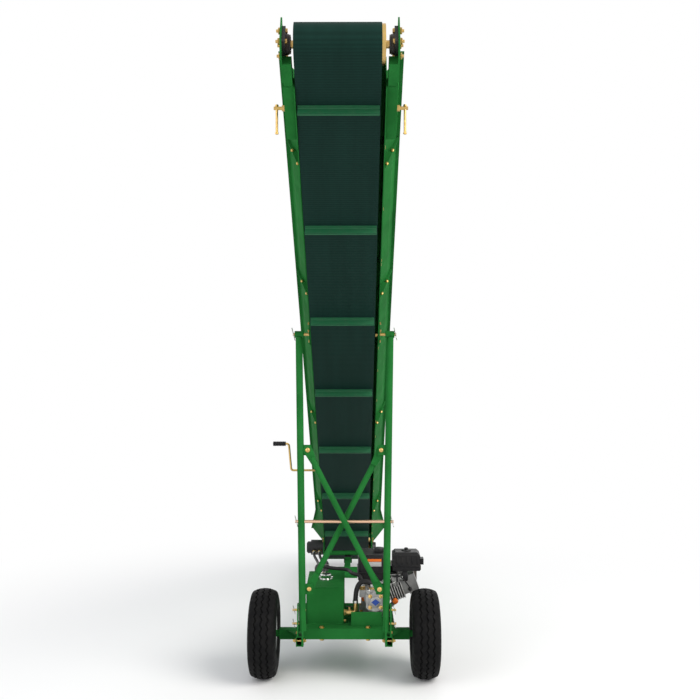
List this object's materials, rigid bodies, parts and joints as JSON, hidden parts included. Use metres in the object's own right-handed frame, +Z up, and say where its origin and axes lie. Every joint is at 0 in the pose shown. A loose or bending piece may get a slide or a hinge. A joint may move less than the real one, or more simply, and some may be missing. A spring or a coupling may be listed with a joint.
{
  "type": "firewood conveyor",
  "caption": "Towable inclined belt conveyor for firewood, with a cleated trough belt on a two-wheel frame, braced uprights, tail hopper and petrol hydraulic pack.",
  "frame": {"origin": "on the ground, below the middle of the overall length, width and box", "axes": "+X to the right seen from the discharge end, +Y towards the loading hopper, +Z up"},
  "size_m": [0.9836, 4.3971, 2.9526],
  "materials": {
    "green_paint": "gloss paint",
    "tyre": "worn",
    "rim": "satin",
    "rubber": "matte",
    "belt": "ribbed",
    "zinc": "yellow zinc",
    "copper": "dull",
    "chrome": "polished",
    "aluminium": "cast",
    "dark_steel": "dull",
    "black_plastic": "matte",
    "black_iron": "painted black"
  },
  "bodies": {
    "chassis": {"axle": "green_paint", "chassis_rail_left": "green_paint", "chassis_rail_right": "green_paint", "front_stubs": "green_paint", "stub_gussets": "green_paint", "crossmember": "green_paint", "tongue": "green_paint", "tail_stand": "green_paint", "rest_post": "green_paint", "rest_pad": "rubber", "upright_left": "green_paint", "upright_right": "green_paint", "brace_front": "green_paint", "brace_rear": "green_paint", "tie_rod": "copper", "lock_posts": "green_paint", "lock_pins": "zinc", "foot_bolts": "zinc", "engine_deck": "green_paint", "hydraulic_tank": "green_paint", "return_filter": "chrome", "engine_block": "aluminium", "valve_cover": "aluminium", "engine_shroud": "black_plastic", "fuel_tank": "black_plastic", "air_cleaner": "black_plastic", "muffler": "dark_steel", "hydraulic_pump": "aluminium", "pressure_hose": "rubber", "return_hose": "rubber", "suction_hose": "rubber", "suction_valve": "zinc"},
    "conveyor": {"tail_rest": "green_paint", "top_pins": "zinc", "side_frame_left": "green_paint", "side_frame_right": "green_paint", "sideboard_left": "green_paint", "sideboard_right": "green_paint", "hopper_side_left": "green_paint", "hopper_side_right": "green_paint", "hopper_back": "green_paint", "board_brackets": "green_paint", "slider_bed": "green_paint", "cross_tubes": "green_paint", "tail_drum": "zinc", "head_drum": "zinc", "tail_bearing": "black_iron", "drive_motor": "black_iron", "belt": "belt", "take_up_sleeves": "green_paint", "take_up_slides": "green_paint", "head_bearings": "black_iron", "take_up_handles": "zinc", "winch_housing": "green_paint", "winch_crank": "zinc", "crank_grip": "black_plastic"},
    "wheel_left": {"tyre_left": "tyre", "rim_left": "rim"},
    "wheel_right": {"tyre_right": "tyre", "rim_right": "rim"}
  },
  "joints": [
    {"name": "wheel_left_roll", "type": "hinge", "parent": "chassis", "child": "wheel_left", "pos_m": [-0.4186, -0.64521, 0.229], "axis": [1, 0, 0], "continuous": true},
    {"name": "wheel_right_roll", "type": "hinge", "parent": "chassis", "child": "wheel_right", "pos_m": [0.4186, -0.64521, 0.229], "axis": [1, 0, 0], "continuous": true},
    {"name": "conveyor_tilt", "type": "hinge", "parent": "chassis", "child": "conveyor", "pos_m": [0, -0.64521, 1.787], "axis": [1, 0, 0], "range_deg": [0, 15], "deforming": ["pressure_hose", "return_hose"]}
  ]
}
